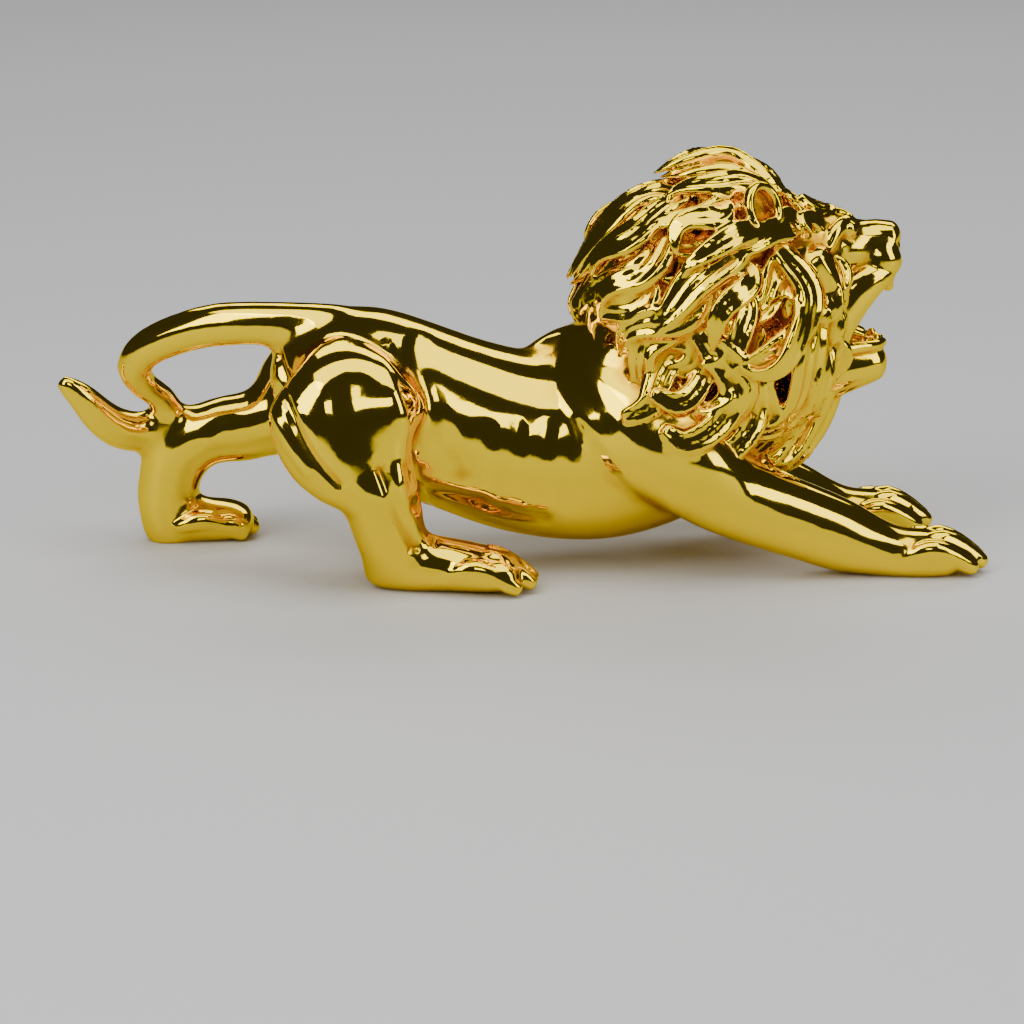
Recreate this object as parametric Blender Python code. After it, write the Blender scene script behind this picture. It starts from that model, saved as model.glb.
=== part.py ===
"""A lion ornament: one gold-plated casting, modelled as one solid.

The lion faces +X, its near (right) side is -Y, and it stands on z = 0.
Pose, proportions and carving are written in 300ths of its length, tail tip to
front claws, and become metres where a section is placed.
"""
import math
import random

import bmesh
import bpy
import numpy as np
from mathutils import Matrix, Vector

LENGTH = 0.300                 # tail tip to front claws
SHARE = LENGTH / 300           # one 300th of the length, about a millimetre

FLESH_VOXEL = 1.5              # cell of the mesh that melts the muscles together
FLESH_PASSES = 16              # smoothing that rounds one muscle into the next
CARVED_VOXEL = 1.0             # cell of the mesh that joins the carving on
CARVED_PASSES = 1
TRIANGLES = 9500               # faces left in the finished solid

GOLD = (1.0, 0.70, 0.12, 1.0)
GOLD_ROUGHNESS = 0.07

NEAR = -1                      # the side of -Y
FAR = 1

# Rows of the trunk: x, top, bottom, half width
TRUNK = [(-73, 74, 50, 10), (-70, 81, 42, 18), (-63, 84, 33, 24), (-50, 84, 27, 26),
         (-35, 79, 22, 26), (-20, 73.5, 17, 27), (0, 68.5, 9.5, 30), (20, 68, 6.5, 32),
         (35, 72, 9, 32), (50, 78, 16, 30), (65, 84, 28, 26), (75, 86, 40, 18)]
# Rows of the other masses: x, y, z, half width across, half width along the section's up
NECK = [(12, 0, 54, 14, 16), (18, 0, 58, 20, 20), (26, 0, 61, 26, 25), (42, 0, 66, 29, 29),
        (60, 0, 76, 29, 32), (80, 0, 88, 22, 26)]
TAIL = [(-58, 0, 76, 9, 9), (-72, 1.5, 78, 7.6, 7.6), (-93, 6, 77.5, 7.4, 7.4),
        (-107, 10, 74, 7, 7), (-119, 14, 68, 6.5, 6.5), (-123.5, 17.5, 61, 6, 6),
        (-120.5, 22, 54, 5.2, 5.2), (-114.5, 26, 48.5, 5, 5), (-114, 28.5, 42.5, 5.4, 5.4),
        (-119, 28.5, 38, 6.2, 6.2), (-127, 26, 38, 7.2, 7.2), (-134, 22, 43, 6.6, 6.6),
        (-140, 18.5, 51, 5.4, 5.4), (-146, 15.5, 57, 3.6, 3.6)]
NEAR_THIGH = [(-58, -17, 72, 7, 11), (-56.5, -24.5, 66, 12, 18.5), (-56, -29, 58, 14, 24.8),
              (-54.6, -31.6, 48, 13.6, 23), (-51, -33.2, 40, 12.8, 18.2), (-46.5, -34, 33, 11.5, 13.2),
              (-44, -32.5, 23, 10.3, 12), (-41.5, -31, 13, 9.6, 11), (-38.5, -29.5, 5, 7.5, 8.5)]
NEAR_HIND_FOOT = [(-47, -28, 6, 7, 7), (-42, -29, 7.5, 9, 8.5), (-34, -30, 8, 10.3, 9.2),
                  (-25, -31.5, 8, 10.8, 8.6), (-15, -33.3, 7, 12, 7.4), (-5, -34.5, 6, 12, 6)]
FAR_THIGH = [(-58, 19, 71, 7, 12), (-57, 25, 65, 12, 18), (-62, 29, 57, 13.5, 18.5),
             (-70, 31, 48, 13, 17), (-78, 31, 41, 12, 13.5), (-88, 30.8, 37.5, 11, 12),
             (-98, 30.4, 36.5, 10.4, 11.4), (-106, 30, 33.5, 9.8, 11), (-111.6, 30, 27, 9, 11),
             (-114.2, 30, 19, 8.6, 10.4), (-114.6, 30, 11, 8.5, 10.1), (-113.8, 30, 3, 8.6, 9.4)]
FAR_HIND_FOOT = [(-119, 30, 5, 7, 6.4), (-112, 30, 6.5, 9, 7.5), (-103, 30.6, 6.2, 10, 7.6),
                 (-95, 31.3, 6, 11, 7), (-90, 31.8, 5.2, 11, 6)]
SHOULDER = [(19, -6, 66, 7, 12), (23, -14, 64, 9, 15), (29, -21.5, 58, 11, 17.5),
            (36, -27, 51, 12.5, 18), (43, -30, 44, 12.8, 17), (51, -30.5, 37, 12.8, 15.8),
            (60, -28, 31, 12.5, 14.5)]
FOREARM = [(50, -29, 36, 12.5, 14), (60, -28, 30, 12.5, 14), (72.6, -26, 23.7, 12.4, 13.2),
           (88.8, -24.5, 17.3, 12, 12.6), (101.7, -24, 12, 11.2, 11.8),
           (111.3, -24, 8.7, 10.2, 9.6), (119.7, -24, 6.5, 10.4, 8.2), (129, -24, 6, 11.2, 8),
           (136, -24, 5, 11, 6.4)]
FAR_STEP = 8                   # how far the far foreleg stays behind the near one

# Paws: middle x, middle y, heading in degrees, half width over the toes, knuckle height
PAWS = [(131, -24, 0, 8.8, 12.3), (131 - FAR_STEP, 24, 0, 8.8, 12.3),
        (-13.5, -33.5, -10, 9.2, 11.6), (-101.5, 31.2, 6, 8.8, 10.4)]
# A toe from the knuckle to the tip: ahead, height as a share of the knuckle, radius
TOE = [(-6, 0.7, 2.2), (-2, 0.86, 3.1), (2.5, 0.92, 3.5), (8, 0.74, 3.3), (13, 0.44, 3.1),
       (15.5, 0.3, 2.6)]

# The head's masses; the muzzle is level and the jaw hangs open below it
SKULL = [(74, 0, 96, 20, 20), (84, 0, 99, 18, 16), (94, 0, 100.5, 16, 13),
         (101, 0, 100.5, 12, 10.5), (108, 0, 100.3, 9, 9.2), (115.5, 0, 100.3, 8, 8.6)]
JAW = [(88, 0, 62, 14, 13), (98, 0, 62, 12.2, 11), (106, 0, 63, 10.6, 9),
       (113, 0, 64, 8.8, 7.2)]
# One side of the face, mirrored for the other: rows of x, y, z, across, along
FACE = {
    "cheek": [(90, 16, 100, 6, 7), (94, 15.5, 93, 6, 7), (95, 13.5, 84, 5, 6),
              (95, 12, 74, 4.5, 6)],
    "upper lip": [(116, 5.6, 93, 3.4, 3.4), (111, 8.4, 91.5, 5.2, 3.4), (104.8, 10.8, 86.5, 6.4, 3.2),
                  (100.6, 12, 79, 6, 3.2), (98.4, 11.4, 71.5, 5.4, 3)],
    "lower lip": [(99, 11, 69.6, 2.6, 3.2), (106, 9.2, 70, 2, 2.6), (112.6, 6.6, 70.2, 1.8, 2.4),
                  (115.6, 2, 70.2, 1.8, 2.2)],
    "brow": [(105.5, 3.2, 109, 2, 1.5), (102, 7.5, 109.5, 2.9, 2.2), (98.5, 11.5, 107.8, 2.6, 2.1),
             (95.5, 14, 103, 2, 2)],
    "lower lid": [(106.6, 5.6, 104, 1, 0.8), (104.2, 8.6, 102.4, 1.4, 1),
                  (101, 11.2, 103.6, 1, 0.8)],
    "upper canine": [(116, 5, 91, 2.2, 2.2), (116.6, 5, 89.4, 2.1, 2.1), (116.8, 5, 88.4, 1.7, 1.7)],
    "lower canine": [(113.4, 4.6, 69.6, 1.8, 1.8), (113.7, 4.6, 71.6, 1.5, 1.5),
                     (113.8, 4.6, 73, 1, 1)],
}
NOSE = [(99, 0, 107.4, 5.5, 3), (107, 0, 106, 5.2, 3.2), (113, 0, 106.2, 5.6, 3.2),
        (117.6, 0, 105.8, 6.4, 3.2)]
TONGUE = [(97, 0, 74, 6, 2.4), (104, 0, 74.2, 5.6, 2.4), (109.6, 0, 72.8, 5, 2)]
EAR = (73, 22, 117)            # middle of an ear's hollow
EAR_HALF = (5.6, 7.2)           # half width and half height of its rim
EAR_FACES = (0.5, 0.8, 0.25)

# Rows of the mane's core: x, middle, half width, half height
MANE_CORE = [(17, 82, 4, 3.5), (20, 82, 9, 9), (25, 82, 16, 17.5), (32, 81.5, 24.5, 27.5),
             (41, 80, 30, 36.3), (52, 79, 32.5, 41.5), (64, 79, 32.5, 43), (76, 79.5, 29, 39.5),
             (86, 82, 23.5, 32), (94, 83, 17, 28)]
# Rings of low locks that fill the ground: x of the roots, locks round, length, width, lift
LOCK_RINGS = [(40, 12, 24, 11, -0.6), (50, 13, 30, 12, -0.8), (61, 15, 32, 12, -0.4),
              (72, 15, 34, 12, -0.6), (82, 15, 32, 11.5, -0.4), (91, 14, 28, 10.5, -0.4),
              (95, 13, 20, 8.5, 0.2)]
LOCK_SEED = 11
# Big curls of one flank, alike on the other: x and degrees from the top at the root, headings
# at root, middle and tip (0 runs back, 90 runs down), length, width, lift
CURLS = [(62, 41, 113, 30, 70, 43, 14, 6.0), (77, 50, 112, 60, -20, 48, 12, 5.8),
         (88, 84, 112, 34, -60, 44, 14, 6.2), (92, 122, 108, 34, -80, 36, 12, 6.0),
         (54, 88, 134, 54, 20, 50, 14, 6.2), (50, 84, 44, 70, 165, 34, 10.5, 5.5),
         (54, 62, 60, 36, 70, 38, 12.5, 5.0), (47, 38, 64, 26, 60, 36, 12.5, 5.5),
         (53, 20, 46, 6, 50, 34, 10, 5.0), (68, 26, 44, 8, 44, 30, 9.5, 5.5),
         (83, 34, 66, 16, 60, 28, 9.5, 5.5), (72, 108, 116, 46, -40, 38, 11.5, 6.0),
         (84, 118, 110, 34, -50, 36, 11, 5.5), (40, 62, 72, 26, 100, 28, 10, 5.5),
         (40, 100, 50, 80, 150, 24, 9, 5.0), (60, 126, 116, 50, -20, 32, 10, 5.5),
         (95, 58, 120, 60, -10, 22, 7, 4.5), (95, 76, 112, 60, -10, 22, 7, 4.5),
         (94, 94, 112, 60, -10, 22, 7, 4.5), (66, 72, 120, 50, 0, 28, 9, 4.0),
         (46, 112, 110, 60, -30, 24, 8.5, 4.5), (45, 32, 60, 10, 90, 24, 8.5, 8.6),
         (60, 30, 90, 20, 100, 26, 9, 9.4), (40, 54, 90, 20, 110, 22, 8, 8.0),
         (71, 40, 80, 10, 100, 28, 9, 9.4), (66, 60, 110, 40, 120, 28, 8.5, 9.4),
         (80, 72, 120, 40, -20, 30, 9, 9.6), (60, 100, 120, 50, -40, 26, 8.5, 9.0),
         (90, 104, 120, 50, -30, 26, 8.5, 9.0)]
BROW = [(97, 8, -80, 10, 90, 16, 7.5, 3.0), (96, 30, -40, 40, 120, 16, 7, 3.5),
        (90, 18, -70, 10, 80, 16, 7.5, 2.4), (89, 36, -40, 20, 90, 16, 7.5, 3.0)]
# Locks along the top: the tuft over the crown and what follows it down the neck
CROWN = [(81, -3, -16, 0, 30, 38, 16, 7.8), (79, -3, 0, 0, 20, 32, 16, 3.4),
         (79, -20, -10, 6, 40, 34, 12, 4.6), (79, 15, -10, 6, 40, 34, 12, 4.6),
         (52, 4, 24, -8, 30, 32, 12, 3.6), (48, -14, -20, 10, 40, 30, 11, 3.4),
         (46, 18, -10, 10, 30, 28, 11, 3.0), (38, -4, 20, 0, -20, 20, 10, 3.0)]
# Locks that hang over the shoulder and under the jaw, alike on both sides: x, y, z, width
HANGING = [[(57, 32.5, 75, 7), (63.5, 36.5, 63, 9.5), (58, 39.5, 53, 9.5), (48, 42, 48.5, 8),
            (42, 41.5, 52.5, 4.5)],
           [(48, 30, 78, 8), (41, 34, 68, 10.5), (37, 38, 59.5, 9), (29.5, 38, 56, 4.5)],
           [(56, 33, 70, 7), (51, 37, 63, 8.5), (45, 39.5, 60.5, 8), (38, 39.5, 63.5, 4.5)],
           [(72, 28.5, 62, 7), (70, 32.5, 51, 9), (62, 35, 43.5, 8), (54, 37, 45, 4)],
           [(93, 14, 59, 7.5), (81, 19.5, 56, 9), (76, 19.5, 47, 8.5), (81, 15, 36.5, 7.5),
            (88, 11.5, 37.5, 4)]]
HOLLOW = 0.55                  # how far the middle of a lock sinks between its rims
WAVE = 24                      # degrees by which a lock swings to either side of its way
WAVES = 1.3                    # swings along a lock
THICKNESS = 0.34               # half height of a lock as a share of its width
HANGING_THICKNESS = 0.36
TIP_LIFT = 3.6                 # how far the tip of a lock stands off
MANE_END = 16.0                # no lock goes further back than this
PARTING = 176.0                # nor nearer the middle underneath, in degrees from the top
BEARD = [(103, 59), (101, 51), (97, 42.5), (92, 34.5), (87.5, 29)]

# Carving seen from a side: lines of x, z, half width, depth (below zero raises)
SHOULDER_EDGE = [((7, 73), (20, 58), (32, 40), (38, 30), (42, 22)), 4.6, 0.5]
RIBS = [[((x, 50), (x - 2.5, 38), (x - 2, 26)), 4.4, 0.5] for x in range(-12, 22, 9)]
BELLY_FOLD = [((-34, 29), (-20, 27), (-6, 22), (6, 20)), 3.6, 0.9]
BELLY_RIDGE = [((-34, 33.5), (-20, 31.5), (-6, 27), (6, 25)), 3.6, -0.6]
NEAR_CARVING = [SHOULDER_EDGE, *RIBS, BELLY_FOLD, BELLY_RIDGE,
                [((-33, 74), (-30, 60), (-26, 47), (-20, 37)), 6.0, 1.0],
                [((-43, 74), (-40, 62), (-37, 51), (-35, 44)), 3.6, -0.7],
                [((-53, 64), (-51, 53), (-48, 43)), 11.0, 2.0],
                [((-77, 70), (-72, 57), (-66, 46), (-59, 38)), 2.4, 1.3],
                [((-80, 62), (-75, 51), (-68, 41)), 2.8, -0.9],
                [((-45, 42), (-41, 28), (-36, 16)), 3.0, 1.4],
                [((-37, 42), (-34, 29), (-29, 17)), 2.6, 1.2]]
FAR_CARVING = [SHOULDER_EDGE, *RIBS, BELLY_FOLD, BELLY_RIDGE,
               [((-38, 72), (-38, 60), (-36, 48), (-30, 38)), 4.5, 1.3],
               [((-84, 46), (-95, 41), (-106, 36), (-110, 26)), 2.4, 1]]


def spread(rows, steps):
    """Rows on a smooth curve through the given ones, with more of them between."""
    rows = [np.array(row, float) for row in rows]
    rows = [2 * rows[0] - rows[1]] + rows + [2 * rows[-1] - rows[-2]]
    fine = []
    for a, b, c, d in zip(rows, rows[1:], rows[2:], rows[3:]):
        for step in range(steps):
            t = step / steps
            fine.append(0.5 * (2 * b + (c - a) * t + (2 * a - 5 * b + 4 * c - d) * t * t
                               + (3 * b - a - 3 * c + d) * t ** 3))
    return fine + [rows[-2]]


def ring_edges(ring):
    """The edges that join the vertices of one ring."""
    members = set(ring)
    return list(dict.fromkeys(edge for vert in ring for edge in vert.link_edges
                              if edge.other_vert(vert) in members))


def loft(bm, rows, up=(0, 0, 1), steps=3, sides=20, dome=0.7, facing=None, hollow=0):
    """A closed rounded form through rows of x, y, z, half across and half along up.

    A row may end with its own up. With facing given, all sections stand square to it.
    Hollow sinks the middle of the form between two rims that run along it.
    """
    rows = spread(rows, steps)
    middles = [Vector(row[:3]) for row in rows]
    ahead = [(b - a).normalized() for a, b in zip(middles, middles[1:])]
    ahead = [ahead[0]] + [(a + b).normalized() for a, b in zip(ahead, ahead[1:])] + [ahead[-1]]
    if facing:
        ahead = [Vector(facing)] * len(rows)
    ups = [Vector(row[5:8]) if len(row) > 5 else Vector(up) for row in rows]
    sections = list(zip(middles, ahead, [row[3:5] for row in rows], ups))
    for end, way in ((0, -1), (-1, 1)):
        middle, along, half, top = sections[end]
        reach = dome * min(half)
        cap = []
        for angle in (25, 50, 75):
            lean = math.radians(angle)
            cap.append((middle + along * (way * reach * math.sin(lean)), along,
                        half * math.cos(lean), top))
        sections = cap[::-1] + sections if end == 0 else sections + cap
    form = bmesh.new()
    last = None
    for middle, along, (across, high), top in sections:
        side = along.cross(top).normalized()
        top = side.cross(along)
        frame = Matrix((side * max(across, 0.2), top * max(high, 0.2), along)).transposed()
        frame = Matrix.Translation(middle * SHARE) @ (frame * SHARE).to_4x4()
        ring = bmesh.ops.create_circle(form, radius=1, segments=sides)["verts"]
        for vert in ring:
            vert.co.y *= 1 - hollow * math.cos(math.pi / 2 * vert.co.x)
            vert.co = frame @ vert.co
        edges = ring_edges(ring)
        if last:
            bmesh.ops.bridge_loops(form, edges=last + edges)
        else:
            bmesh.ops.edgeloop_fill(form, edges=edges)
        last = edges
    bmesh.ops.edgeloop_fill(form, edges=last)
    add(bm, form)


def add(bm, form):
    """Puts the bmesh of one form into a larger one."""
    bmesh.ops.recalc_face_normals(form, faces=form.faces)
    mesh = bpy.data.meshes.new("form")
    form.to_mesh(mesh)
    form.free()
    bm.from_mesh(mesh)
    bpy.data.meshes.remove(mesh)


def egg(bm, middle, radii):
    frame = (Matrix.Translation(Vector(middle) * SHARE)
             @ Matrix.Diagonal((*(Vector(radii) * SHARE), 1)))
    bmesh.ops.create_uvsphere(bm, u_segments=24, v_segments=16, radius=1, matrix=frame)


def mirrored(rows, ahead=0):
    """The same rows on the other side, moved along X."""
    return [(x + ahead, -y, z, across, high) for x, y, z, across, high in rows]


def trunk(bm):
    loft(bm, [(x, 0, (top + low) / 2, wide, (top - low) / 2) for x, top, low, wide in TRUNK])
    loft(bm, NECK, facing=(1, 0, 0))
    egg(bm, (-56, 0, 62), (18, 24, 20))


def limbs(bm):
    loft(bm, NEAR_THIGH, up=(1, 0, 0))
    loft(bm, NEAR_HIND_FOOT)
    loft(bm, FAR_THIGH, up=(1, 0, 0.3))
    loft(bm, FAR_HIND_FOOT)
    for rows, up in ((SHOULDER, (1, 0, 0.4)), (FOREARM, (0, 0, 1))):
        loft(bm, rows, up=up)
        loft(bm, mirrored(rows, -FAR_STEP), up=up)


def tail(bm):
    loft(bm, TAIL, up=(0, 1, 0.2), sides=16)


def toes(bm):
    """Four toes on each paw, the outer ones set back and lower."""
    for x, y, heading, half, height in PAWS:
        way = Vector((math.cos(math.radians(heading)), math.sin(math.radians(heading)), 0))
        side = Vector((-way.y, way.x, 0))
        for place in (-1, -0.34, 0.34, 1):
            back = 4.5 * place * place
            rows = []
            for ahead, share, radius in TOE:
                at = Vector((x, y, 0)) + way * (ahead - back)
                at += side * (place * half * (1 - 0.012 * abs(ahead)))
                low = height * share * (1 - 0.16 * place * place)
                rows.append((at.x, at.y, low, radius * 0.95, radius))
            loft(bm, rows, sides=12, steps=2)


def head(bm):
    loft(bm, SKULL)
    loft(bm, JAW)
    loft(bm, NOSE, sides=16)
    loft(bm, TONGUE, sides=14)
    egg(bm, (117.6, 0, 104), (3.6, 6.4, 5))
    egg(bm, (111.5, 0, 61.5), (5.4, 7, 5))
    for side in (NEAR, FAR):
        for rows in FACE.values():
            loft(bm, [(x, side * y, z, across, along) for x, y, z, across, along in rows],
                 up=(0.3, side, 0.2), sides=12)
        egg(bm, (113.6, side * 4.8, 97), (7.4, 4.8, 6.6))
        egg(bm, (103.2, side * 8.6, 108), (2.8, 2.8, 2.6))
        ear(bm, side)


def ear(bm, side):
    """A round cup: a thin back and a rolled rim three quarters of the way round."""
    faces = Vector((EAR_FACES[0], side * EAR_FACES[1], EAR_FACES[2])).normalized()
    middle = Vector((EAR[0], side * EAR[1], EAR[2]))
    top = (Vector((-0.1, 0, 1)) - faces * faces.z).normalized()
    across = top.cross(faces)
    rows = []
    for angle in range(-130, 131, 20):
        lean = math.radians(angle)
        at = middle + faces * 0.8 + top * (EAR_HALF[1] * math.cos(lean))
        at += across * (EAR_HALF[0] * math.sin(lean))
        rows.append((*at, 1.7, 2.2, *faces))
    loft(bm, rows, steps=1, sides=10)
    back = middle - faces * 2.4
    rows = [(*(back - faces * 3), 4.4, 5.6, *top), (*back, *EAR_HALF, *top)]
    loft(bm, rows, steps=1, sides=16, dome=0.1)


CORE = np.array(spread([(x, middle, wide, high) for x, middle, wide, high in MANE_CORE], 6))


def mane_point(x, round_deg, lift):
    """A point of the mane's core at x, some degrees from the top, and the way out there."""
    middle, wide, high = (np.interp(x, CORE[:, 0], CORE[:, i]) for i in (1, 2, 3))
    turn = math.radians(round_deg)
    out = Vector((0, math.sin(turn) / wide, math.cos(turn) / high))
    slope = 2.0
    grow = (np.interp(x + slope, CORE[:, 0], CORE[:, 3])
            - np.interp(x - slope, CORE[:, 0], CORE[:, 3])) / (2 * slope)
    out = (out.normalized() + Vector((-max(-1.6, min(1.6, grow)), 0, 0))).normalized()
    at = Vector((x, wide * math.sin(turn), middle + high * math.cos(turn)))
    return at + out * lift, out


def lock_rows(x, round_deg, headings, length, width, lift):
    """Rows of one lock that walks over the core from its root by headings to its tip."""
    count = 11
    side = 1 if round_deg >= 0 else -1
    turn = abs(round_deg)
    stride = length / (count - 1)
    rows = []
    for index, (way,) in enumerate(spread([(heading,) for heading in headings], count // 2)):
        t = index / (count - 1)
        rise = lift * math.sin(math.pi * min(1, 0.1 + 0.75 * t)) + TIP_LIFT * t ** 3
        at, out = mane_point(x, side * turn, rise)
        swell = math.sin(math.pi * (0.16 + 0.82 * t ** 0.9)) ** 0.75
        rows.append((*at, width / 2 * swell, width * THICKNESS * swell ** 0.8, *out))
        heading = math.radians(way + WAVE * math.sin(2 * math.pi * WAVES * t + round_deg))
        wide, high = (np.interp(x, CORE[:, 0], CORE[:, i]) for i in (2, 3))
        reach = math.hypot(wide * math.cos(math.radians(turn)), high * math.sin(math.radians(turn)))
        x = max(MANE_END, x - stride * math.cos(heading))
        turn += math.degrees(stride * math.sin(heading) / max(reach, 8))
        turn = min(PARTING, turn)
    return rows


def fall(x, turn):
    """Heading of the hair at a place of the mane: back at the top, down at the sides."""
    heading = (10 + 64 * min(1, turn / 80)) * (0.45 + 0.55 * (x - MANE_END) / 80)
    return heading * min(1, (180 - turn) / 60)


def mane(bm, sides=12):
    loft(bm, [(x, 0, middle, wide, high) for x, middle, wide, high in MANE_CORE],
         facing=(1, 0, 0), sides=28, dome=0.3)
    draw = random.Random(LOCK_SEED)
    for ring, (x, count, length, width, lift) in enumerate(LOCK_RINGS):
        for index in range(count):
            round_deg = (index + 0.5 * (ring % 2)) * 360 / count
            round_deg = (round_deg + 180 + draw.uniform(-3, 3)) % 360 - 180
            down = fall(x, abs(round_deg))
            swing = draw.uniform(40, 62)
            rows = lock_rows(x + draw.uniform(-2.5, 2.5), round_deg,
                             (down + swing, down, down - 0.6 * swing),
                             length * draw.uniform(0.9, 1.15), width * draw.uniform(0.9, 1.15),
                             lift + draw.uniform(-0.4, 1.0))
            loft(bm, rows, steps=1, sides=sides, hollow=HOLLOW)
    curls = CROWN + [(x, side * turn, *rest) for side in (NEAR, FAR)
                     for x, turn, *rest in CURLS + BROW]
    for x, turn, root, middle, tip, length, width, lift in curls:
        rows = lock_rows(x, turn, (root, middle, tip), length, width, lift)
        loft(bm, rows, steps=1, sides=sides, hollow=HOLLOW)
    for line in HANGING:
        for side in (NEAR, FAR):
            rows = [(x, side * y, z, width / 2, width * HANGING_THICKNESS) for x, y, z, width in line]
            loft(bm, rows, up=(0.1, side, 0.2), sides=sides, hollow=HOLLOW)
    for place in range(-3, 4):
        rows = []
        for index, (x, z) in enumerate(BEARD):
            sway = 1.6 * math.sin(1.9 * index + place)
            swell = (0.8, 1, 1, 0.8, 0.4)[index]
            rows.append((x - 0.9 * place * place, place * (2.6 + 0.7 * index) + sway,
                         z + 0.6 * place * place, 4 * swell, 3 * swell))
        loft(bm, rows, up=(1, 0, -0.5), sides=sides)


def melt(bm, voxel, passes):
    """One smooth closed skin round everything in the bmesh, as a new bmesh."""
    bmesh.ops.recalc_face_normals(bm, faces=bm.faces)
    clay = bpy.data.meshes.new("clay")
    bm.to_mesh(clay)
    bm.free()
    holder = bpy.data.objects.new("clay", clay)
    bpy.context.collection.objects.link(holder)
    cells = holder.modifiers.new("cells", "REMESH")
    cells.mode = "VOXEL"
    cells.voxel_size = voxel * SHARE
    seen = holder.evaluated_get(bpy.context.evaluated_depsgraph_get())
    skin = bpy.data.meshes.new_from_object(seen)
    bpy.data.objects.remove(holder)
    bpy.data.meshes.remove(clay)
    melted = bmesh.new()
    melted.from_mesh(skin)
    bpy.data.meshes.remove(skin)
    for _ in range(passes):
        bmesh.ops.smooth_vert(melted, verts=melted.verts, factor=0.5,
                              use_axis_x=True, use_axis_y=True, use_axis_z=True)
    return melted


def carve(bm, strokes, side=0):
    """Pushes the skin in (or out) along lines seen from one side of the lion.

    A stroke is a line of x, z points with a half width and a depth; depth below
    zero raises a ridge. Only skin that faces the given side moves.
    """
    places = np.array([vert.co for vert in bm.verts]) / SHARE
    normals = np.array([vert.normal for vert in bm.verts])
    facing = np.clip(normals[:, 1] * side * 1.6, 0, 1)
    facing[places[:, 1] * side < 4] = 0
    push = np.zeros(len(places))
    for line, half, depth in strokes:
        line = np.array(spread([(x, z) for x, z in line], 4))
        near = np.full(len(places), 1e9)
        for start, end in zip(line, line[1:]):
            along = end - start
            t = ((places[:, [0, 2]] - start) @ along) / max(along @ along, 1e-9)
            t = np.clip(t, 0, 1)[:, None]
            near = np.minimum(near, np.linalg.norm(places[:, [0, 2]] - start - t * along, axis=1))
        weight = np.clip(1 - (near / half) ** 2, 0, 1) ** 2
        push -= depth * weight * facing
    moved = (places + normals * push[:, None]) * SHARE
    for vert, place in zip(bm.verts, moved):
        vert.co = place


def on_flat_soles(bm):
    """Cuts everything below z = 0 away and closes the soles flat."""
    parts = bm.verts[:] + bm.edges[:] + bm.faces[:]
    cut = bmesh.ops.bisect_plane(bm, geom=parts, plane_co=(0, 0, 0), plane_no=(0, 0, -1),
                                 clear_outer=True, dist=1e-7)
    rims = [item for item in cut["geom_cut"] if isinstance(item, bmesh.types.BMEdge)]
    bmesh.ops.edgeloop_fill(bm, edges=rims)
    bmesh.ops.triangulate(bm, faces=bm.faces)


def thin(bm, triangles):
    """The same form with fewer triangles: more of them where it bends more."""
    mesh = bpy.data.meshes.new("thick")
    bm.to_mesh(mesh)
    bm.free()
    holder = bpy.data.objects.new("thick", mesh)
    bpy.context.collection.objects.link(holder)
    mesh.calc_loop_triangles()
    fewer = holder.modifiers.new("fewer", "DECIMATE")
    fewer.ratio = triangles / len(mesh.loop_triangles)
    fewer.use_collapse_triangulate = True
    seen = holder.evaluated_get(bpy.context.evaluated_depsgraph_get())
    thinner = bpy.data.meshes.new_from_object(seen)
    bpy.data.objects.remove(holder)
    bpy.data.meshes.remove(mesh)
    thinned = bmesh.new()
    thinned.from_mesh(thinner)
    bpy.data.meshes.remove(thinner)
    return thinned


def at_length(bm):
    """Centres the box over the origin and makes it exactly LENGTH long, soles on z = 0."""
    places = np.array([vert.co for vert in bm.verts])
    low, high = places.min(axis=0), places.max(axis=0)
    middle = (low + high) / 2
    bmesh.ops.translate(bm, verts=bm.verts, vec=(-middle[0], -middle[1], 0))
    bmesh.ops.scale(bm, verts=bm.verts, vec=[LENGTH / (high[0] - low[0])] * 3)


def gold():
    finish = bpy.data.materials.new("gold_plating")
    finish.use_nodes = True
    shader = finish.node_tree.nodes["Principled BSDF"]
    shader.inputs["Base Color"].default_value = GOLD
    shader.inputs["Metallic"].default_value = 1.0
    shader.inputs["Roughness"].default_value = GOLD_ROUGHNESS
    return finish


def clear():
    for thing in list(bpy.data.objects):
        bpy.data.objects.remove(thing)


def main():
    clear()
    flesh = bmesh.new()
    trunk(flesh)
    limbs(flesh)
    tail(flesh)
    flesh = melt(flesh, FLESH_VOXEL, FLESH_PASSES)
    toes(flesh)
    head(flesh)
    mane(flesh)
    lion = melt(flesh, CARVED_VOXEL, CARVED_PASSES)
    carve(lion, NEAR_CARVING, NEAR)
    carve(lion, FAR_CARVING, FAR)
    lion = thin(lion, TRIANGLES)
    on_flat_soles(lion)
    at_length(lion)
    mesh = bpy.data.meshes.new("lion")
    lion.to_mesh(mesh)
    lion.free()
    mesh.shade_smooth()
    mesh.set_sharp_from_angle(angle=math.radians(60))
    mesh.materials.append(gold())
    item = bpy.data.objects.new("lion", mesh)
    bpy.context.collection.objects.link(item)


main()
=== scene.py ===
# %% [markdown]
# ## A gold-plated lion ornament
#
# The real thing is one hollow resin casting, plated and polished like a mirror.
# It has no parts that come off, so here it is one mesh too. It follows the solid
# of the frame form by form and adds what a coarse solid can't carry: strands in
# the locks, sharper lips, lids and toes, nostrils and pupils.

# %% The frame
import math
import random

import bmesh
import bpy
import numpy as np
from mathutils import Matrix, Vector


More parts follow.
